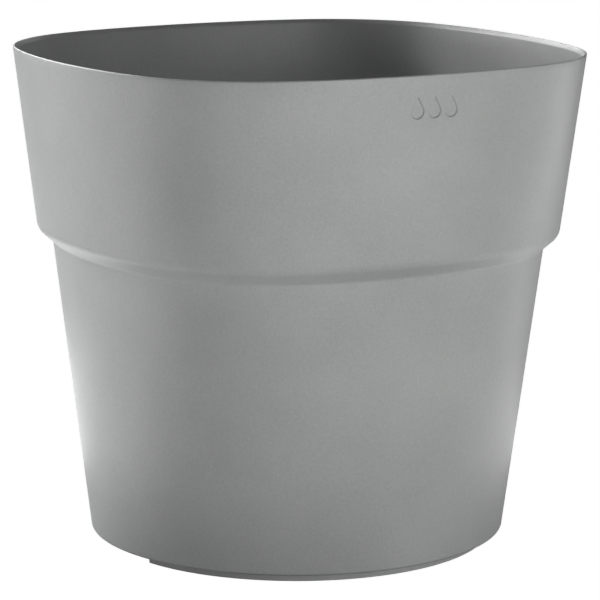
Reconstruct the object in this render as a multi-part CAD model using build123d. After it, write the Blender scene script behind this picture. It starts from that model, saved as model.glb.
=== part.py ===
from build123d import *
import math
import os

# Self-watering planter. Millimetres, +Z up, origin on the ground at the centre of the foot.
# The pot is round at the base and a soft square at the rim; -Y is the marked front flat.

# ---- outer pot ----
HEIGHT = 283.0
RIM_HALF = 150.0            # centre to flat at the rim
FOOT_H = 5.0
BASE_HALF = 119.8           # wall radius where it meets the floor's underside
LEAN = 0.0805               # outward run of a flat per unit of height
WALL = 2.8
FLOOR_TOP = 8.0
BASE_ROUND = 1.6
RIM_ROUND = 0.8
SIDE_SHIFT = 184.0          # how far a side arc's centre lies behind the axis at the rim
CORNER_SHIFT = 53.1         # how far a corner arc's centre lies from both mid planes at the rim
BETA = math.degrees(math.atan2(CORNER_SHIFT, CORNER_SHIFT + SIDE_SHIFT))

# ---- shoulder between the lower and the upper wall ----
SHOULDER_TOP = 182.5
SHOULDER_ROUND = 8.0
SHOULDER_ANGLE = 42.0

# ---- foot ring and drain ----
FOOT_R, FOOT_IN = 112.0, 109.0
FOOT_GAP = 24.0             # degrees, one gap each side
DRAIN_R = 8.3
COLLAR_R, COLLAR_TOP = 14.0, 14.0
PIPE_R, PIPE_IN, WATER_MAX = 10.95, 7.5, 52.0

# ---- lift-out insert ----
PLATE_LOW, PLATE_TOP = 62.0, 64.5
SKIRT_LOW = 54.0
EDGE_GAP = 1.2
CUP_AT = 62.0               # wicking cups, from the axis
CUP_R, CUP_FOOT_R, CUP_WALL = 23.0, 18.0, 1.8
TUBE_AT = 96.0              # filler and gauge, from the axis along a diagonal
FLANGE_T = 3.0
TUBE_TOP = 240.0
FILLER_R, FILLER_IN, FILLER_LOW = 15.0, 13.0, 10.0
HINGE_AT, HINGE_Z, KNUCKLE_R, PIN_R = 19.6, 241.4, 2.3, 1.0
GAUGE_R, GAUGE_IN = 8.0, 6.5
CAGE_R, CAGE_IN, CAGE_LOW, CAGE_TOP = 17.0, 15.0, 10.0, 54.0
WINDOW_LOW, WINDOW_TOP = 196.0, 243.0
FLOAT_R, FLOAT_H = 13.0, 14.0
MARKER_LOW, MARKER_H = 203.0, 8.0
SLIP = 0.05                 # radial gap between round pieces that are pushed together


def squareness(z):
    return (z - FOOT_H) / (HEIGHT - FOOT_H)


def lower(z):
    return BASE_HALF + LEAN * (z - FOOT_H)


def upper(z):
    return RIM_HALF - LEAN * (HEIGHT - z)


def outline(half, square, z):
    """Four gentle side arcs joined smoothly by four corner arcs; a circle when square is 0."""
    side, corner = SIDE_SHIFT * square, CORNER_SHIFT * square
    side_r = half + side
    corner_r = side_r - math.hypot(corner + side, corner)
    arcs = []
    for quarter in range(4):
        turn = Rot(0, 0, 90 * quarter)
        for cx, cy, radius, start, end in (
            (-side, 0, side_r, -BETA, BETA),
            (corner, corner, corner_r, BETA, 90 - BETA),
        ):
            ends = [math.radians(a) for a in (start, (start + end) / 2, end)]
            spots = [Vector(cx + radius * math.cos(a), cy + radius * math.sin(a), z) for a in ends]
            arcs.append(turn * ThreePointArc(*spots))
    return Wire(arcs)


def body(profile):
    """Solid through the outlines of a list of (z, half width)."""
    return Solid.make_loft([outline(half, squareness(z), z) for z, half in profile], True)


def arc(cx, cz, radius, start, end, steps):
    """(z, half width) pairs along an arc in the wall's section, angles in degrees."""
    spots = []
    for i in range(steps + 1):
        a = math.radians(start + (end - start) * i / steps)
        spots.append((cz + radius * math.sin(a), cx + radius * math.cos(a)))
    return spots


def shoulder(inset):
    """Wall section from the end of the lower wall to the start of the upper wall."""
    tilt = math.atan(LEAN)
    cx = upper(SHOULDER_TOP) - SHOULDER_ROUND * math.cos(tilt)
    cz = SHOULDER_TOP + SHOULDER_ROUND * math.sin(tilt)
    bend = arc(cx, cz, SHOULDER_ROUND - inset, -SHOULDER_ANGLE, -math.degrees(tilt), 4)
    z0, x0 = bend[0]
    slope = 1 / math.tan(math.radians(SHOULDER_ANGLE))
    fall = (x0 - lower(z0) + inset / math.cos(tilt)) / (slope - LEAN)
    corner_z, corner_x = z0 - fall, x0 - slope * fall
    soft = 1.2
    start = (corner_z - soft, corner_x - soft * LEAN)
    middle = (corner_z + 0.05 * soft, corner_x + 0.25 * soft)
    end = (corner_z + 0.7 * soft, corner_x + 0.7 * soft * slope)
    return [start, middle, end] + bend


def disc(radius, low, top, at=(0, 0)):
    return Pos(at[0], at[1], low) * Cylinder(
        radius, top - low, align=(Align.CENTER, Align.CENTER, Align.MIN)
    )


def ring(outer, inner, low, top, at=(0, 0)):
    return disc(outer, low, top, at) - disc(inner, low - 1, top + 1, at)


def block(x0, x1, y0, y1, z0, z1):
    return Pos((x0 + x1) / 2, (y0 + y1) / 2, (z0 + z1) / 2) * Box(x1 - x0, y1 - y0, z1 - z0)


def around(shape, count, first=0.0):
    return [Rot(0, 0, first + 360 * i / count) * shape for i in range(count)]


def along(angle, distance):
    a = math.radians(angle)
    return (distance * math.cos(a), distance * math.sin(a))


def edges_at(shape, z):
    return [e for e in shape.edges() if abs(e.bounding_box().min.Z - z) < 1e-4
            and abs(e.bounding_box().max.Z - z) < 1e-4]


def drop(width, height):
    """Outline of a water drop standing on the XZ plane, centred on its round end."""
    r = width / 2
    tip = height - r
    a = math.asin(r / tip)
    left, right = (-r * math.cos(a), r * math.sin(a)), (r * math.cos(a), r * math.sin(a))
    sides = Wire([
        Edge.make_line((0, tip, 0), (right[0], right[1], 0)),
        ThreePointArc((right[0], right[1], 0), (0, -r, 0), (left[0], left[1], 0)),
        Edge.make_line((left[0], left[1], 0), (0, tip, 0)),
    ])
    return Face(sides)


# ---- outer pot with its foot, drain collar and front relief ----
base_z = FOOT_H + BASE_ROUND
outer = arc(lower(base_z) - BASE_ROUND, base_z, BASE_ROUND, -90, 0, 3)
outer += shoulder(0)
rim_z = HEIGHT - RIM_ROUND
outer += arc(upper(rim_z) - RIM_ROUND, rim_z, RIM_ROUND, 0, 90, 3)

floor_round = 3.0
floor_z = FLOOR_TOP + floor_round
inner = arc(lower(floor_z) - WALL - floor_round, floor_z, floor_round, -90, 0, 3)
inner += shoulder(WALL)
inner += [(HEIGHT - 2.0, upper(HEIGHT - 2.0) - WALL), (HEIGHT, RIM_HALF - 1.3),
          (HEIGHT + 2.0, RIM_HALF + 0.2)]

outer_pot = body(outer) - body(inner)

foot = ring(FOOT_R, FOOT_IN, 0, FOOT_H + 0.5)
reach = FOOT_R + 10
half_gap = math.radians(FOOT_GAP / 2)
wedge = Polyline((0, 0), (reach, reach * math.tan(half_gap)), (reach, -reach * math.tan(half_gap)), close=True)
gap = extrude(make_face(wedge), FOOT_H)
for cut in around(gap, 2):
    foot -= cut
outer_pot += foot
for rib in around(block(20, FOOT_IN + 1, -1, 1, FOOT_H - 2.2, FOOT_H + 0.5), 8, 22.5):
    outer_pot += rib
outer_pot += ring(22, 19, FOOT_H - 2.2, FOOT_H + 0.5)
outer_pot += disc(COLLAR_R, FLOOR_TOP - 0.5, COLLAR_TOP)
outer_pot -= disc(PIPE_R + SLIP, FLOOR_TOP, COLLAR_TOP + 1)
outer_pot -= disc(DRAIN_R, FOOT_H - 1, FLOOR_TOP + 1)

mark_z, mark_depth = 263.5, 0.5
mark_core = body([(z, upper(z) - mark_depth) for z in (HEIGHT - 40, HEIGHT)])
for x in (-10.5, 0, 10.5):
    face = Pos(x, -RIM_HALF - 5, mark_z) * Rot(90, 0, 0) * drop(7.6, 11.5)
    outer_pot -= extrude(face, amount=20, dir=(0, 1, 0)) - mark_core

# ---- standpipe that sets the highest water level, and the plug below it ----
overflow_pipe = ring(PIPE_R, PIPE_IN, FLOOR_TOP, WATER_MAX)
for notch in around(block(0, PIPE_R + 2, -2, 2, WATER_MAX - 5, WATER_MAX + 1), 4, 45):
    overflow_pipe -= notch

plug_low, plug_top = 1.4, 3.8
head = disc(13, plug_low, plug_top)
head = chamfer(edges_at(head, plug_low), 0.6)
drain_plug = head + disc(DRAIN_R - 0.08, plug_top - 0.5, FLOOR_TOP - 0.3)
drain_plug -= block(-9, 9, -1.2, 1.2, plug_low - 1, plug_low + 1.3)
drain_seal = ring(11.5, DRAIN_R - 0.03, plug_top, FOOT_H)

# ---- separator plate ----
def plate_half(z):
    return lower(z) - WALL - EDGE_GAP


cups = {"right": along(0, CUP_AT), "back": along(90, CUP_AT), "left": along(180, CUP_AT),
        "front": along(270, CUP_AT)}
filler_at = along(45, TUBE_AT)
gauge_at = along(225, TUBE_AT)

separator_plate = body([(SKIRT_LOW, plate_half(SKIRT_LOW)), (PLATE_TOP, plate_half(PLATE_TOP))])
separator_plate = chamfer(edges_at(separator_plate, PLATE_TOP), 0.7)
separator_plate -= body([(SKIRT_LOW - 1, plate_half(SKIRT_LOW - 1) - 2.2),
                         (PLATE_LOW, plate_half(PLATE_LOW) - 2.2)])
for rib in around(block(14, 118, -1, 1, 56.5, PLATE_LOW + 0.5), 4, 22.5):
    separator_plate += rib
for rib in around(block(14, 118, -1, 1, 56.5, PLATE_LOW + 0.5), 4, 67.5):
    separator_plate += rib
for at in cups.values():
    separator_plate -= disc(CUP_R + 0.2, SKIRT_LOW - 2, PLATE_TOP + 2, at)
separator_plate -= disc(FILLER_R + 0.2, SKIRT_LOW - 2, PLATE_TOP + 2, filler_at)
separator_plate -= disc(GAUGE_R + 0.2, SKIRT_LOW - 2, PLATE_TOP + 2, gauge_at)
vents = [along(45 * i, r) for i in range(8) for r in (24,)]
vents += [along(45 + 90 * i + d, 72) for i in (1, 3) for d in (-10, 0, 10)]
vents += [along(90 * i + d, 103) for i in range(4) for d in (-24, -12, 0, 12, 24)]
vents += [along(45 + 90 * i, 100) for i in (1, 3)]
for at in vents:
    separator_plate -= disc(2.5, SKIRT_LOW - 2, PLATE_TOP + 2, at)

# ---- wicking cups that hang in the plate and stand on the pot's floor ----
wall_h = PLATE_TOP - FLOOR_TOP
cup = Pos(0, 0, FLOOR_TOP) * Cone(CUP_FOOT_R, CUP_R, wall_h, align=(Align.CENTER, Align.CENTER, Align.MIN))
cup = fillet(edges_at(cup, FLOOR_TOP), 2)
cup += disc(CUP_R + 3.5, PLATE_TOP, PLATE_TOP + 2)
cup = fillet(edges_at(cup, PLATE_TOP + 2), 0.8)
cup -= Pos(0, 0, FLOOR_TOP + CUP_WALL) * Cone(
    CUP_FOOT_R - CUP_WALL, CUP_R - CUP_WALL + 0.25, wall_h + 2, align=(Align.CENTER, Align.CENTER, Align.MIN))
for slot in around(block(0, CUP_R + 2, -1.5, 1.5, FLOOR_TOP + 6, PLATE_LOW - 18), 10, 18):
    cup -= slot - disc(8, FLOOR_TOP, PLATE_TOP)
for slot in around(block(6, 14, -1.25, 1.25, FLOOR_TOP - 1, FLOOR_TOP + CUP_WALL + 1), 6):
    cup -= slot

# ---- filler tube, cap and pin; built on the X axis, then turned to its corner ----
filler_tube = ring(FILLER_R, FILLER_IN, FILLER_LOW, TUBE_TOP)
filler_tube += ring(FILLER_R + 4, FILLER_R - 0.5, PLATE_TOP, PLATE_TOP + FLANGE_T)
filler_tube += ring(FILLER_R + 1.5, FILLER_R - 0.5, TUBE_TOP - 6, TUBE_TOP)
for notch in around(block(0, FILLER_R + 2, -4, 4, FILLER_LOW - 1, FILLER_LOW + 9), 4, 45):
    filler_tube -= notch
ear_profile = Polyline((FILLER_R - 1, TUBE_TOP - 14), (HINGE_AT + KNUCKLE_R, TUBE_TOP - 4),
                       (HINGE_AT + KNUCKLE_R, HINGE_Z), (HINGE_AT - KNUCKLE_R, HINGE_Z),
                       (HINGE_AT - KNUCKLE_R, TUBE_TOP), (FILLER_R - 1, TUBE_TOP), close=True)
ear_face = Rot(90, 0, 0) * (make_face(ear_profile) + Pos(HINGE_AT, HINGE_Z) * Circle(KNUCKLE_R))
for y in (-4.2, 7.4):
    filler_tube += Pos(0, y, 0) * extrude(ear_face, 3.2)
pin_line = Pos(HINGE_AT, 0, HINGE_Z) * Rot(90, 0, 0)
filler_tube -= pin_line * Cylinder(PIN_R + 0.03, 40)
filler_tube -= disc(FILLER_IN, TUBE_TOP - 20, TUBE_TOP + 1)
filler_hinge_pin = pin_line * Cylinder(PIN_R, 15.6)

lid_low, lid_top = TUBE_TOP + 0.3, TUBE_TOP + 2.5
lid = disc(FILLER_R + 1.5, lid_low, lid_top)
lid = fillet(edges_at(lid, lid_top), 0.8)
lid -= disc(9, lid_top - 0.7, lid_top + 1)
filler_cap = lid + ring(FILLER_IN - 0.6, FILLER_IN - 2.2, lid_low - 3.5, lid_low + 0.5)
filler_cap += block(10, HINGE_AT, -3.9, 3.9, lid_low, lid_top)
filler_cap += pin_line * Cylinder(KNUCKLE_R, 7.8)
filler_cap -= pin_line * Cylinder(PIN_R + 0.06, 40)
filler_cap += block(-FILLER_R - 4.5, -FILLER_R, -5, 5, lid_low, lid_low + 1.4)

filler_place = Rot(0, 0, 45) * Pos(TUBE_AT, 0, 0)

# ---- water-level gauge: caged float, rod and marker under a clear window ----
gauge_tube = ring(GAUGE_R, GAUGE_IN, CAGE_TOP, WINDOW_LOW, gauge_at)
gauge_tube += ring(GAUGE_R + 4, GAUGE_R - 0.5, PLATE_TOP, PLATE_TOP + FLANGE_T, gauge_at)
cage = ring(CAGE_R, CAGE_IN, CAGE_LOW, CAGE_TOP)
cage += ring(CAGE_IN + 0.5, 1.6, CAGE_TOP - 2, CAGE_TOP)
for slot in around(block(0, CAGE_R + 2, -2, 2, CAGE_LOW + 5, CAGE_TOP - 6), 6):
    cage -= slot
gauge_foot = Pos(*gauge_at, 0) * cage
foot_cap = disc(CAGE_R, CAGE_LOW - 1.5, CAGE_LOW)
foot_cap = chamfer(edges_at(foot_cap, CAGE_LOW - 1.5), 0.5)
foot_cap += ring(CAGE_IN - SLIP, FLOAT_R + 0.6, CAGE_LOW - 0.5, CAGE_LOW + 2.5)
for slot in around(block(4, 11, -1.25, 1.25, CAGE_LOW - 3, CAGE_LOW + 1), 6):
    foot_cap -= slot
gauge_foot_cap = Pos(*gauge_at, 0) * foot_cap
float_top = CAGE_LOW + FLOAT_H
floater = disc(FLOAT_R, CAGE_LOW, float_top)
floater = fillet(edges_at(floater, float_top) + edges_at(floater, CAGE_LOW), 1.5)
gauge_float = Pos(*gauge_at, 0) * (floater - disc(1.5, float_top - 5, float_top + 1))
gauge_rod = disc(1.5, float_top - 5, MARKER_LOW, gauge_at)
marker = disc(4.5, MARKER_LOW, MARKER_LOW + MARKER_H)
gauge_marker = Pos(*gauge_at, 0) * fillet(edges_at(marker, MARKER_LOW + MARKER_H), 1.5)
window = disc(GAUGE_R, WINDOW_LOW, WINDOW_TOP)
window = fillet(edges_at(window, WINDOW_TOP), 4)
hollow = disc(GAUGE_R - 1.8, WINDOW_LOW - 1, WINDOW_TOP - 1.8)
hollow = fillet(edges_at(hollow, WINDOW_TOP - 1.8), 3)
gauge_window = Pos(*gauge_at, 0) * (window - hollow)
bezel = ring(GAUGE_R + 2, GAUGE_R + SLIP, WINDOW_LOW - 5, WINDOW_LOW + 4)
bezel = chamfer([e for z in (WINDOW_LOW - 5, WINDOW_LOW + 4) for e in edges_at(bezel, z)
                 if e.radius > GAUGE_R + 1], 0.8)
gauge_bezel = Pos(*gauge_at, 0) * bezel

parts = {
    "outer_pot": outer_pot,
    "overflow_pipe": overflow_pipe,
    "drain_plug": drain_plug,
    "drain_seal": drain_seal,
    "separator_plate": separator_plate,
    "filler_tube": filler_place * filler_tube,
    "filler_hinge_pin": filler_place * filler_hinge_pin,
    "filler_cap": filler_place * filler_cap,
    "gauge_tube": gauge_tube,
    "gauge_foot": gauge_foot,
    "gauge_foot_cap": gauge_foot_cap,
    "gauge_float": gauge_float,
    "gauge_rod": gauge_rod,
    "gauge_marker": gauge_marker,
    "gauge_window": gauge_window,
    "gauge_bezel": gauge_bezel,
}
for name, at in cups.items():
    parts[f"wick_cup_{name}"] = Pos(at[0], at[1], 0) * cup

os.makedirs("parts", exist_ok=True)
for name, shape in parts.items():
    export_step(shape, f"parts/{name}.step")
    box = shape.bounding_box()
    print(name, len(shape.solids()), round(shape.volume / 1000, 2), "cm3",
          [round(v, 2) for v in (*box.min, *box.max)])
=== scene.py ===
"""Self-watering planter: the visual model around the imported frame. Metres, +Z up, -Y front."""

import math

import bmesh
import bpy
import numpy as np
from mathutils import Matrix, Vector


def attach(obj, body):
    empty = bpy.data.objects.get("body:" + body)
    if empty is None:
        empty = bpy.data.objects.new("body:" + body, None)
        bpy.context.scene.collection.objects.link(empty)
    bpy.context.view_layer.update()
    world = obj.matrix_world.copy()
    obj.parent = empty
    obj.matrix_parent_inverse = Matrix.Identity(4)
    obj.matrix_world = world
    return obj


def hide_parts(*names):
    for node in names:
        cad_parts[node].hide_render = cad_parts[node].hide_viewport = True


MM = 0.001

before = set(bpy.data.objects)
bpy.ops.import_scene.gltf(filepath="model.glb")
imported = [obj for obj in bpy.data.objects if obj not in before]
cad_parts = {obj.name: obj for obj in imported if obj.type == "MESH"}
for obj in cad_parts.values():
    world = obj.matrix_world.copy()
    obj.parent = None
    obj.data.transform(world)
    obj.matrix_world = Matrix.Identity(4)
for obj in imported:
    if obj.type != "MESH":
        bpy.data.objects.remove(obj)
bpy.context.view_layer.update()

# ---- pot shape, in millimetres, as in the CAD ----
HEIGHT, RIM_HALF, FOOT_H = 283.0, 150.0, 5.0
BASE_HALF, LEAN, WALL = 119.8, 0.0805, 2.8
SIDE_SHIFT, CORNER_SHIFT = 184.0, 53.1
SHOULDER_TOP, SHOULDER_ROUND, SHOULDER_ANGLE = 182.5, 8.0, 42.0
FOOT_R, FOOT_IN, FOOT_GAP = 112.0, 109.0, 24.0
DRAIN_R, FLOOR_TOP = 8.3, 8.0
COLLAR_R, COLLAR_IN, COLLAR_TOP = 14.0, 11.0, 14.0
BASE_ROUND, RIM_ROUND, FLOOR_ROUND, RIM_TOP_W = 1.8, 0.7, 3.0, 1.35
OUTER_FILLET, INNER_FILLET = 1.3, 1.5
RIB_DEEP, RIB_HALF, RIB_CHAMFER, SPOKES = 2.2, 1.0, 0.3, 8
RING_IN, RING_OUT = 19.0, 22.0
SPOKE_IN = RING_OUT - 0.25              # the spokes start just inside the ring
PLAIN_COLUMNS, RELIEF_COLUMN, RELIEF_ROW, WALL_ROW = 300, 0.22, 0.24, 9.0


# ---------------------------------------------------------------- outline of the pot
def corner_gain(angle):
    """How far the soft square stands out from a circle of the flats' radius, by normal angle."""
    beta = math.atan2(CORNER_SHIFT, CORNER_SHIFT + SIDE_SHIFT)
    side = np.abs(angle) <= beta
    flat = SIDE_SHIFT * (1 - np.cos(angle))
    span = math.hypot(CORNER_SHIFT + SIDE_SHIFT, CORNER_SHIFT)
    turned = CORNER_SHIFT * (np.cos(angle) + np.abs(np.sin(angle))) + SIDE_SHIFT - span
    return np.where(side, flat, turned)


def smooth_gain(samples=7200, width=4.0):
    """corner_gain over a full turn with its curvature eased over a few degrees, and its slope."""
    turn = np.arange(samples) * 2 * math.pi / samples
    folded = (turn + math.pi / 4) % (math.pi / 2) - math.pi / 4
    gain = corner_gain(folded)
    reach = int(samples * width * 4 / 360)
    steps = np.arange(-reach, reach + 1) * 360 / samples
    kernel = np.exp(-0.5 * (steps / width) ** 2)
    kernel /= kernel.sum()
    eased = np.convolve(np.concatenate([gain[-reach:], gain, gain[:reach]]), kernel, "valid")
    eighth = samples // 8
    eased = (eased - eased[0]) * gain[eighth] / (eased[eighth] - eased[0])
    slope = (np.roll(eased, -1) - np.roll(eased, 1)) / (4 * math.pi / samples)
    return turn, eased, slope


TURN, GAIN, SLOPE = smooth_gain()


def ring_points(angles, half, square):
    """XY points of the outline whose outward normals are at the given angles."""
    gain = np.interp(angles % (2 * math.pi), TURN, GAIN, period=2 * math.pi)
    slope = np.interp(angles % (2 * math.pi), TURN, SLOPE, period=2 * math.pi)
    out, along = half + square * gain, square * slope
    return (out * np.cos(angles) - along * np.sin(angles),
            out * np.sin(angles) + along * np.cos(angles))


def squareness(z):
    """How far the outline has turned from a circle into the soft square at a height."""
    return min(max((z - FOOT_H) / (HEIGHT - FOOT_H), 0.0), 1.01)


def lower(z):
    """Half width across the flats of the wall below the shoulder."""
    return BASE_HALF + LEAN * (z - FOOT_H)


def upper(z):
    """Half width across the flats of the wall above the shoulder."""
    return RIM_HALF - LEAN * (HEIGHT - z)


def arc(cx, cz, radius, start, end, steps):
    """Points of an arc about (cx, cz), from start to end in degrees."""
    a = np.radians(np.linspace(start, end, steps + 1))
    return [(cx + radius * math.cos(t), cz + radius * math.sin(t)) for t in a]


def shoulder(inset, soft):
    """(half width, z) from the end of the lower wall to the start of the upper wall."""
    tilt = math.atan(LEAN)
    cx = upper(SHOULDER_TOP) - SHOULDER_ROUND * math.cos(tilt)
    cz = SHOULDER_TOP + SHOULDER_ROUND * math.sin(tilt)
    bend = arc(cx, cz, SHOULDER_ROUND - inset, -SHOULDER_ANGLE, -math.degrees(tilt), 16)
    x0, z0 = bend[0]
    slope = 1 / math.tan(math.radians(SHOULDER_ANGLE))
    fall = (x0 - lower(z0) + inset / math.cos(tilt)) / (slope - LEAN)
    corner = Vector((x0 - slope * fall, z0 - fall))
    down = Vector((-LEAN, -1)).normalized() * soft
    up = Vector((slope, 1)).normalized() * soft
    bezier = []
    for t in np.linspace(0, 1, 7):
        p = corner + down * (1 - t) ** 2 + up * t ** 2
        bezier.append((p.x, p.y))
    p = corner + up * 2
    return bezier + [(p.x, p.y)] + bend


def spaced(a, b, step):
    """Points from a to b, both left out, about step apart."""
    count = max(1, round(math.dist(a, b) / step))
    return [(a[0] + (b[0] - a[0]) * i / count, a[1] + (b[1] - a[1]) * i / count)
            for i in range(1, count)]


# ---------------------------------------------------------------- relief of three drops
MARK_Z, MARK_DEPTH, MARK_EDGE, MARK_MARGIN = 263.5, 0.75, 0.30, 1.2
DROP_W, DROP_H, DROP_STEP = 7.6, 11.5, 10.5
RELIEF_SPAN = 30                        # the drops lie within this of the front's middle


def drop_distance(x, z):
    """Signed distance to a drop's outline, negative inside."""
    r = DROP_W / 2
    tip = DROP_H - r
    a = math.asin(r / tip)
    x = np.abs(x)
    circle = np.hypot(x, z) - r
    side = x * math.cos(a) + (z - tip) * math.sin(a)
    above = x * math.sin(a) - z * math.cos(a) < 0
    return np.where((z > r * math.sin(a)) & above | (z > tip), side, circle)


def relief(x, z):
    """Depth of the pressed-in drops at a point of the front flat."""
    depth = np.zeros_like(x)
    for centre in (-DROP_STEP, 0.0, DROP_STEP):
        d = drop_distance(x - centre, z - MARK_Z)
        t = np.clip(0.5 - d / MARK_EDGE / 2, 0, 1)
        depth = np.maximum(depth, MARK_DEPTH * t * t * (3 - 2 * t))
    return depth


# ---------------------------------------------------------------- mesh helpers
def piece(name, verts, faces):
    """A smooth-shaded mesh object with its normals outward and its corners kept sharp."""
    mesh = bpy.data.meshes.new(name)
    mesh.from_pydata(verts, [], faces)
    mesh.update()
    obj = bpy.data.objects.new(name, mesh)
    bpy.context.scene.collection.objects.link(obj)
    bm = bmesh.new()
    bm.from_mesh(mesh)
    bmesh.ops.recalc_face_normals(bm, faces=bm.faces)
    bm.to_mesh(mesh)
    bm.free()
    mesh.polygons.foreach_set("use_smooth", [True] * len(mesh.polygons))
    mesh.set_sharp_from_angle(angle=math.radians(35))
    return obj


def columns():
    """Normal angles of the pot's columns, closer together across the relief."""
    reach = DROP_STEP + DROP_W / 2 + 1.5
    radius = RIM_HALF + SIDE_SHIFT
    half_span = reach / radius
    front = -math.pi / 2
    dense = np.linspace(front - half_span, front + half_span, 2 * round(reach / RELIEF_COLUMN) + 1)
    rest = np.linspace(front + half_span, front + 2 * math.pi - half_span, PLAIN_COLUMNS)[1:-1]
    return np.concatenate([dense, rest])


def pot_mesh():
    """The whole pot as one closed surface: outside, rim, inside, collar, underside and foot."""
    angles = columns()
    count = len(angles)
    base_z = FOOT_H + BASE_ROUND
    outer = arc(lower(base_z) - BASE_ROUND, base_z, BASE_ROUND, -90, 0, 8)
    bend = shoulder(0, OUTER_FILLET)
    outer += spaced(outer[-1], bend[0], WALL_ROW) + bend
    mark_low = MARK_Z - DROP_W / 2 - MARK_MARGIN
    mark_high = MARK_Z + DROP_H - DROP_W / 2 + MARK_MARGIN
    spot = (upper(mark_low), mark_low)
    outer += spaced(outer[-1], spot, WALL_ROW) + [spot]
    spot = (upper(mark_high), mark_high)
    outer += spaced(outer[-1], spot, RELIEF_ROW) + [spot]
    rim_z = HEIGHT - RIM_ROUND
    rim = arc(upper(rim_z) - RIM_ROUND, rim_z, RIM_ROUND, 0, 90, 6)
    outer += spaced(outer[-1], rim[0], 3) + rim
    lip_x = RIM_HALF - RIM_TOP_W
    lip = [(lip_x + 0.35, HEIGHT), (lip_x + 0.12, HEIGHT - 0.06), (lip_x - 0.05, HEIGHT - 0.25),
           (upper(HEIGHT - 2.2) - WALL + 0.10, HEIGHT - 2.1),
           (upper(HEIGHT - 2.7) - WALL, HEIGHT - 2.7)]
    inner_bend = shoulder(WALL, INNER_FILLET)[::-1]
    inner = lip + spaced(lip[-1], inner_bend[0], WALL_ROW) + inner_bend
    floor_z = FLOOR_TOP + FLOOR_ROUND
    bowl = arc(lower(floor_z) - WALL - FLOOR_ROUND, floor_z, FLOOR_ROUND, 0, -90, 8)
    inner += spaced(inner[-1], bowl[0], WALL_ROW) + bowl
    inner += spaced(inner[-1], (COLLAR_R, FLOOR_TOP), 12)
    inner += [(COLLAR_R + 0.6, FLOOR_TOP), (COLLAR_R, FLOOR_TOP + 0.6), (COLLAR_R, COLLAR_TOP - 0.5),
              (COLLAR_R - 0.5, COLLAR_TOP), (COLLAR_IN + 0.4, COLLAR_TOP), (COLLAR_IN, COLLAR_TOP - 0.4),
              (COLLAR_IN, FLOOR_TOP), (DRAIN_R, FLOOR_TOP), (DRAIN_R, FOOT_H)]
    under = [(14.0, FOOT_H), (FOOT_IN - 40, FOOT_H), (FOOT_IN - 0.6, FOOT_H)]
    foot = [(FOOT_IN, FOOT_H - 0.6), (FOOT_IN + 0.1, 0.5), (FOOT_IN + 0.6, 0.0), (FOOT_R - 0.6, 0.0),
            (FOOT_R - 0.1, 0.5), (FOOT_R, FOOT_H - 0.6)]
    rows = outer + inner + under
    verts = []

    def add_row(half, z, on_wall):
        x, y = ring_points(angles, half, squareness(z) if half > FOOT_R else 0.0)
        heights = np.full(count, z)
        if on_wall:
            front = (y < 0) & (np.abs(x) < RELIEF_SPAN)
            y = y + np.where(front, relief(x, heights), 0.0)
        start = len(verts)
        verts.extend(zip(x * MM, y * MM, heights * MM))
        return start

    starts = [add_row(half, z, i < len(outer)) for i, (half, z) in enumerate(rows)]
    foot_starts = [add_row(half, z, False) for half, z in foot]
    last = add_row(FOOT_R + 0.6, FOOT_H, False)
    faces = []

    def bridge(a, b, keep=None):
        for i in range(count):
            if keep is None or keep[i]:
                j = (i + 1) % count
                faces.append((a + i, a + j, b + j, b + i))

    for a, b in zip(starts, starts[1:]):
        bridge(a, b)
    middle = angles + (np.roll(angles, -1) - angles) % (2 * math.pi) / 2
    off_side = np.abs((middle + math.pi / 2) % math.pi - math.pi / 2)
    on_foot = off_side > math.radians(FOOT_GAP / 2)
    chain = [starts[-1]] + foot_starts + [last]
    for a, b in zip(chain, chain[1:]):
        bridge(a, b, on_foot)
    bridge(starts[-1], last, ~on_foot)
    for i in range(count):
        if on_foot[i] != on_foot[i - 1]:
            faces.append(tuple(s + i for s in chain))
    bridge(last, starts[0])
    used = sorted({v for f in faces for v in f})
    new = {v: i for i, v in enumerate(used)}
    return [verts[v] for v in used], [tuple(new[v] for v in f) for f in faces]


def rib_boxes():
    """Stiffening ribs under the floor: eight spokes and a ring."""
    verts, faces = [], []
    low, high, half, edge = FOOT_H - RIB_DEEP, FOOT_H + 0.2, RIB_HALF, RIB_CHAMFER
    spoke_out = FOOT_IN + 0.3
    for spoke in range(SPOKES):
        a = math.radians((spoke + 0.5) * 360 / SPOKES)
        ux, uy = math.cos(a), math.sin(a)
        start = len(verts)
        for z, side in ((low, half - 0.25), (low + edge, half), (high, half)):
            for r, s in ((SPOKE_IN, -side), (spoke_out, -side), (spoke_out, side), (SPOKE_IN, side)):
                verts.append(((r * ux - s * uy) * MM, (r * uy + s * ux) * MM, z * MM))
        faces.append(tuple(start + i for i in range(4)))
        for level in (0, 4):
            for i in range(4):
                j = (i + 1) % 4
                faces.append((start + level + i, start + level + j,
                              start + level + 4 + j, start + level + 4 + i))
        faces.append(tuple(start + 8 + i for i in range(4)))
    ring = [(RING_IN, high), (RING_IN, low + edge), (RING_IN + edge, low),
            (RING_OUT - edge, low), (RING_OUT, low + edge), (RING_OUT, high)]
    count, start = 96, len(verts)
    for r, z in ring:
        for i in range(count):
            a = 2 * math.pi * i / count
            verts.append((r * math.cos(a) * MM, r * math.sin(a) * MM, z * MM))
    for k in range(len(ring)):
        n = (k + 1) % len(ring)
        for i in range(count):
            j = (i + 1) % count
            faces.append((start + k * count + i, start + k * count + j,
                          start + n * count + j, start + n * count + i))
    return verts, faces


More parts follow.
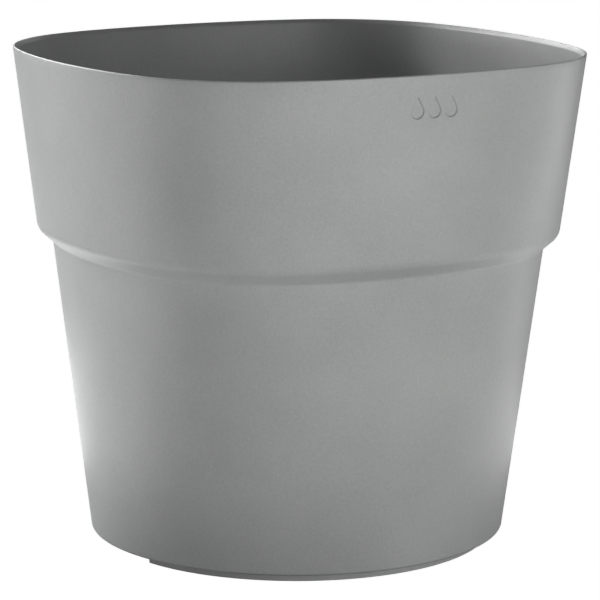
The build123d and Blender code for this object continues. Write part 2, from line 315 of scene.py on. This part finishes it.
def loft(rings):
    """Verts and faces of a solid through closed rings of (x, y, z) in millimetres, in order."""
    count = len(rings[0])
    verts = [(x * MM, y * MM, z * MM) for ring in rings for x, y, z in ring]
    faces = []
    for k in range(len(rings) - 1):
        for i in range(count):
            j = (i + 1) % count
            faces.append((k * count + i, k * count + j, (k + 1) * count + j, (k + 1) * count + i))
    faces.append(tuple(range(count)))
    faces.append(tuple((len(rings) - 1) * count + i for i in reversed(range(count))))
    return verts, faces


TUBE_AT = 96.0 / math.sqrt(2)           # filler and gauge, along each axis
TICKS = ((207.0, 70), (220.5, 40), (234.0, 70))
WINDOW_R, TICK_OUT, TICK_HALF = 7.97, 8.35, 0.5


def level_ticks():
    """Three raised lines on the gauge window: low, middle and full."""
    section = [(WINDOW_R, -TICK_HALF), (TICK_OUT - 0.1, -TICK_HALF), (TICK_OUT, 0.1 - TICK_HALF),
               (TICK_OUT, TICK_HALF - 0.1), (TICK_OUT - 0.1, TICK_HALF), (WINDOW_R, TICK_HALF)]
    verts, faces = [], []
    for z, reach in TICKS:
        rings = []
        for a in np.radians(np.linspace(45 - reach, 45 + reach, 41)):
            rings.append([(r * math.cos(a) - TUBE_AT, r * math.sin(a) - TUBE_AT, z + dz)
                          for r, dz in section])
        some_verts, some_faces = loft(rings)
        faces += [tuple(len(verts) + i for i in face) for face in some_faces]
        verts += some_verts
    return verts, faces


LID_RECESS, EMBLEM_H, EMBLEM_R, EMBLEM_LONG = 241.8, 0.5, 3.6, 11.0


def lid_drop():
    """A raised water drop in the recess of the filler cap, its tip away from the hinge."""
    tip = EMBLEM_LONG - EMBLEM_R
    side = math.asin(EMBLEM_R / tip)
    rings = []
    for inset, z in ((0.0, LID_RECESS - 0.1), (0.0, LID_RECESS + EMBLEM_H - 0.2),
                     (0.06, LID_RECESS + EMBLEM_H - 0.06), (0.2, LID_RECESS + EMBLEM_H)):
        r = EMBLEM_R - inset
        reach = r / math.sin(side)
        first = math.pi / 2 - side
        outline = [(r * math.cos(a), r * math.sin(a))
                   for a in np.linspace(first, 2 * math.pi - first, 60)]
        outline.append((reach, 0.0))
        middle = EMBLEM_LONG / 2 - EMBLEM_R
        ring = []
        for x, y in outline:
            u = x - middle
            ring.append((TUBE_AT - (u - y) / math.sqrt(2), TUBE_AT - (u + y) / math.sqrt(2), z))
        rings.append(ring)
    return loft(rings)


# ---------------------------------------------------------------- materials
def plastic(name, colour, rough, grain, scale, mottle):
    """Moulded plastic: fine grain, slight colour and gloss variation."""
    material = bpy.data.materials.new(name)
    material.use_nodes = True
    tree = material.node_tree
    nodes, links = tree.nodes, tree.links
    nodes.clear()
    out = nodes.new("ShaderNodeOutputMaterial")
    shader = nodes.new("ShaderNodeBsdfPrincipled")
    shader.inputs["IOR"].default_value = 1.49
    shader.inputs["Specular IOR Level"].default_value = 0.5
    links.new(shader.outputs["BSDF"], out.inputs["Surface"])
    coords = nodes.new("ShaderNodeTexCoord")
    fine = nodes.new("ShaderNodeTexNoise")
    fine.inputs["Scale"].default_value = scale
    fine.inputs["Detail"].default_value = 3.0
    fine.inputs["Roughness"].default_value = 0.6
    links.new(coords.outputs["Object"], fine.inputs["Vector"])
    cloud = nodes.new("ShaderNodeTexNoise")
    cloud.inputs["Scale"].default_value = 14.0
    cloud.inputs["Detail"].default_value = 4.0
    links.new(coords.outputs["Object"], cloud.inputs["Vector"])
    tone = nodes.new("ShaderNodeValToRGB")
    low = [c * (1 - mottle) for c in colour]
    high = [min(1.0, c * (1 + mottle)) for c in colour]
    tone.color_ramp.elements[0].position = 0.3
    tone.color_ramp.elements[0].color = (*low, 1)
    tone.color_ramp.elements[1].position = 0.7
    tone.color_ramp.elements[1].color = (*high, 1)
    blend = nodes.new("ShaderNodeMath")
    blend.operation = "MULTIPLY_ADD"
    blend.inputs[1].default_value = 0.5
    links.new(fine.outputs["Fac"], blend.inputs[0])
    half = nodes.new("ShaderNodeMath")
    half.operation = "MULTIPLY"
    half.inputs[1].default_value = 0.5
    links.new(cloud.outputs["Fac"], half.inputs[0])
    links.new(half.outputs[0], blend.inputs[2])
    links.new(blend.outputs[0], tone.inputs["Fac"])
    links.new(tone.outputs["Color"], shader.inputs["Base Color"])
    spread = nodes.new("ShaderNodeMapRange")
    spread.inputs["To Min"].default_value = rough - 0.05
    spread.inputs["To Max"].default_value = rough + 0.05
    links.new(fine.outputs["Fac"], spread.inputs["Value"])
    links.new(spread.outputs["Result"], shader.inputs["Roughness"])
    bump = nodes.new("ShaderNodeBump")
    bump.inputs["Strength"].default_value = grain
    bump.inputs["Distance"].default_value = 0.0002
    links.new(fine.outputs["Fac"], bump.inputs["Height"])
    links.new(bump.outputs["Normal"], shader.inputs["Normal"])
    return material


def polish_above(material, height, gain):
    """Smoother plastic above a height, as where a moulded rim is trimmed and flamed."""
    tree = material.node_tree
    nodes, links = tree.nodes, tree.links
    coords, shader = nodes["Texture Coordinate"], nodes["Principled BSDF"]
    split = nodes.new("ShaderNodeSeparateXYZ")
    links.new(coords.outputs["Object"], split.inputs[0])
    above = nodes.new("ShaderNodeMath")
    above.operation = "GREATER_THAN"
    above.inputs[1].default_value = height
    links.new(split.outputs["Z"], above.inputs[0])
    smoother = nodes.new("ShaderNodeMath")
    smoother.operation = "MULTIPLY_ADD"
    smoother.inputs[1].default_value = -gain
    links.new(above.outputs[0], smoother.inputs[0])
    links.new(shader.inputs["Roughness"].links[0].from_socket, smoother.inputs[2])
    links.new(smoother.outputs[0], shader.inputs["Roughness"])


def dress(obj, material):
    obj.data.materials.clear()
    obj.data.materials.append(material)


# name, colour, roughness, grain strength, grain scale, mottle
pot_grey = plastic("pot_grained_plastic", (0.4025, 0.412, 0.4065), 0.42, 0.55, 800, 0.13)
polish_above(pot_grey, (HEIGHT - 0.5) * MM, 0.06)
insert_black = plastic("insert_moulded_plastic", (0.062, 0.063, 0.065), 0.42, 0.3, 1100, 0.15)
cap_grey = plastic("cap_moulded_plastic", (0.16, 0.165, 0.165), 0.38, 0.2, 1200, 0.08)
float_white = plastic("float_moulded_plastic", (0.80, 0.79, 0.75), 0.4, 0.1, 900, 0.03)
marker_red = plastic("marker_gloss_plastic", (0.62, 0.03, 0.02), 0.22, 0.05, 900, 0.08)
seal_black = plastic("seal_soft_rubber", (0.018, 0.018, 0.018), 0.7, 0.3, 1600, 0.15)


def steel():
    material = plastic("pin_drawn_steel", (0.62, 0.61, 0.59), 0.3, 0.15, 700, 0.05)
    material.node_tree.nodes["Principled BSDF"].inputs["Metallic"].default_value = 1.0
    return material


def clear():
    material = plastic("window_clear_plastic", (0.93, 0.96, 0.96), 0.08, 0.02, 120, 0.02)
    shader = material.node_tree.nodes["Principled BSDF"]
    shader.inputs["Transmission Weight"].default_value = 0.95
    return material


pin_steel, window_clear = steel(), clear()

# ---------------------------------------------------------------- pieces
pot = piece("planter_shell", *pot_mesh())
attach(pot, "pot")
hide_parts("outer_pot")
dress(pot, pot_grey)

ribs = piece("floor_ribs", *rib_boxes())
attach(ribs, "pot")
dress(ribs, pot_grey)

ticks = piece("gauge_level_ticks", *level_ticks())
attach(ticks, "insert")
dress(ticks, cap_grey)

emblem = piece("cap_drop_relief", *lid_drop())
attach(emblem, "cap")
dress(emblem, cap_grey)

finishes = {
    "overflow_pipe": insert_black, "drain_plug": insert_black, "drain_seal": seal_black,
    "separator_plate": insert_black, "filler_tube": insert_black, "filler_hinge_pin": pin_steel,
    "filler_cap": cap_grey, "gauge_tube": insert_black, "gauge_foot": insert_black,
    "gauge_foot_cap": insert_black, "gauge_float": float_white, "gauge_rod": float_white,
    "gauge_marker": marker_red, "gauge_window": window_clear, "gauge_bezel": cap_grey,
    "wick_cup_right": insert_black, "wick_cup_back": insert_black, "wick_cup_left": insert_black,
    "wick_cup_front": insert_black,
}
for name, material in finishes.items():
    dress(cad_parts[name], material)

# ---------------------------------------------------------------- floor, light and camera
FLOOR_SPAN, FLOOR_LOW, WALL_FAR = 30.0, -0.0002, 28.0
VIEW_TURN = math.radians(-29.61)        # the camera's azimuth about the planter
PANEL_HEIGHT = 0.002                    # glowing panels lie on the floor
SOFT_BOX, STRIP, PANEL, WIDE_PANEL = (0.7, 0.5), (0.6, 0.12), (0.3, 0.3), (0.5, 0.5)
AIM = Vector((0, 0, 0.15))
# distance and height of each tier of lights
HIGH, LEVEL, LOW = (1.41, 0.90), (1.59, 0.32), (0.9, 0.065)
NEAR, WIDE = (0.36, PANEL_HEIGHT), (0.85, PANEL_HEIGHT)


def glowing_matt(name, glow, colour):
    """A matt grey of the given lightness that also gives off an even glow."""
    material = bpy.data.materials.new(name)
    material.use_nodes = True
    nodes, links = material.node_tree.nodes, material.node_tree.links
    nodes.clear()
    out = nodes.new("ShaderNodeOutputMaterial")
    light = nodes.new("ShaderNodeEmission")
    light.inputs["Strength"].default_value = glow
    matt = nodes.new("ShaderNodeBsdfDiffuse")
    matt.inputs["Color"].default_value = (colour, colour, colour, 1)
    both = nodes.new("ShaderNodeAddShader")
    links.new(light.outputs[0], both.inputs[0])
    links.new(matt.outputs[0], both.inputs[1])
    links.new(both.outputs[0], out.inputs["Surface"])
    return material


def stage_object(name, verts, faces, glow, colour):
    mesh = bpy.data.meshes.new(name)
    mesh.from_pydata(verts, [], faces)
    obj = bpy.data.objects.new(name, mesh)
    bpy.context.scene.collection.objects.link(obj)
    dress(obj, glowing_matt(name, glow, colour))
    return obj


def floor_plane(name, glow, colour):
    """A wide matt floor; the glow stands for the even light of a studio sweep."""
    s, z = FLOOR_SPAN, FLOOR_LOW
    corners = [(-s, -s, z), (s, -s, z), (s, s, z), (-s, s, z)]
    return stage_object(name, corners, [(0, 1, 2, 3)], glow, colour)


def backdrop(sides=64):
    """A far white wall all round, seen only behind the planter in low views."""
    turns = [2 * math.pi * i / sides for i in range(sides)]
    verts = [(WALL_FAR * math.cos(a), WALL_FAR * math.sin(a), z)
             for z in (-WALL_FAR, WALL_FAR) for a in turns]
    faces = [(i, (i + 1) % sides, sides + (i + 1) % sides, sides + i) for i in range(sides)]
    faces.append(tuple(range(sides, 2 * sides)))
    return stage_object("studio_backdrop", verts, faces, 1.0, 0.0)


# the seen floor and wall are white to the camera only; the grey one below sends light back up
bounce_floor = floor_plane("bounce_floor", 0.0, 0.35)
bounce_floor.visible_camera = False
for seen in (floor_plane("studio_floor", 1.0, 0.45), backdrop()):
    seen.visible_diffuse = False
    seen.visible_glossy = False
    seen.visible_transmission = False
    seen.visible_shadow = False

world = bpy.data.worlds.new("studio")
bpy.context.scene.world = world
world.use_nodes = True
world.node_tree.nodes["Background"].inputs["Color"].default_value = (1, 1, 1, 1)
world.node_tree.nodes["Background"].inputs["Strength"].default_value = 0.0


def around(azimuth, distance, height):
    """A point at an azimuth counted from the camera's side, positive to its right."""
    a = VIEW_TURN + math.radians(azimuth)
    return Vector((distance * math.sin(a), -distance * math.cos(a), height))


def area_light(name, azimuth, distance, height, width, tall, power):
    """A soft box aimed at the planter's middle; one lying on the floor faces up."""
    data = bpy.data.lights.new(name, "AREA")
    data.shape = "RECTANGLE"
    data.size, data.size_y, data.energy = width, tall, power
    light = bpy.data.objects.new(name, data)
    bpy.context.scene.collection.objects.link(light)
    light.location = around(azimuth, distance, height)
    light.visible_camera = False
    if height <= PANEL_HEIGHT:
        light.rotation_euler = (math.pi, 0, VIEW_TURN + math.radians(azimuth))
    else:
        light.rotation_euler = (AIM - light.location).to_track_quat("-Z", "Y").to_euler()


for azimuth, watts in ((-175, 3), (-150, 9), (-120, 14), (30, 2.5), (150, 1.5)):
    area_light(f"high_{azimuth}", azimuth, *HIGH, *SOFT_BOX, watts)
for azimuth, watts in ((-120, 4), (45, 5)):
    area_light(f"level_{azimuth}", azimuth, *LEVEL, *SOFT_BOX, watts)
for azimuth, watts in ((-105, 0.3), (-75, 1.3), (15, 0.7), (45, 1.0), (105, 0.9)):
    area_light(f"strip_{azimuth}", azimuth, *LOW, *STRIP, watts)
for azimuth, watts in ((-135, 0.5), (-75, 0.3), (15, 0.1), (105, 0.35)):
    area_light(f"panel_{azimuth}", azimuth, *NEAR, *PANEL, watts)
area_light("wide_panel_-15", -15, *WIDE, *WIDE_PANEL, 1.6)

CAMERA_BACK, CAMERA_UP, CAMERA_PITCH = 1.7412, 0.47433, 0.1917
CAMERA_SENSOR, CAMERA_LENS, CAMERA_SHIFT = 36.0, 183.8, 0.0058
camera_data = bpy.data.cameras.new("camera")
camera_data.sensor_width, camera_data.lens = CAMERA_SENSOR, CAMERA_LENS
camera_data.shift_x = CAMERA_SHIFT
camera_data.clip_end = 60
camera = bpy.data.objects.new("camera", camera_data)
bpy.context.scene.collection.objects.link(camera)
camera.location = around(0, CAMERA_BACK, CAMERA_UP)
camera.rotation_euler = (math.pi / 2 - CAMERA_PITCH, 0, VIEW_TURN)
bpy.context.scene.camera = camera
bpy.context.scene.view_settings.view_transform = "Standard"
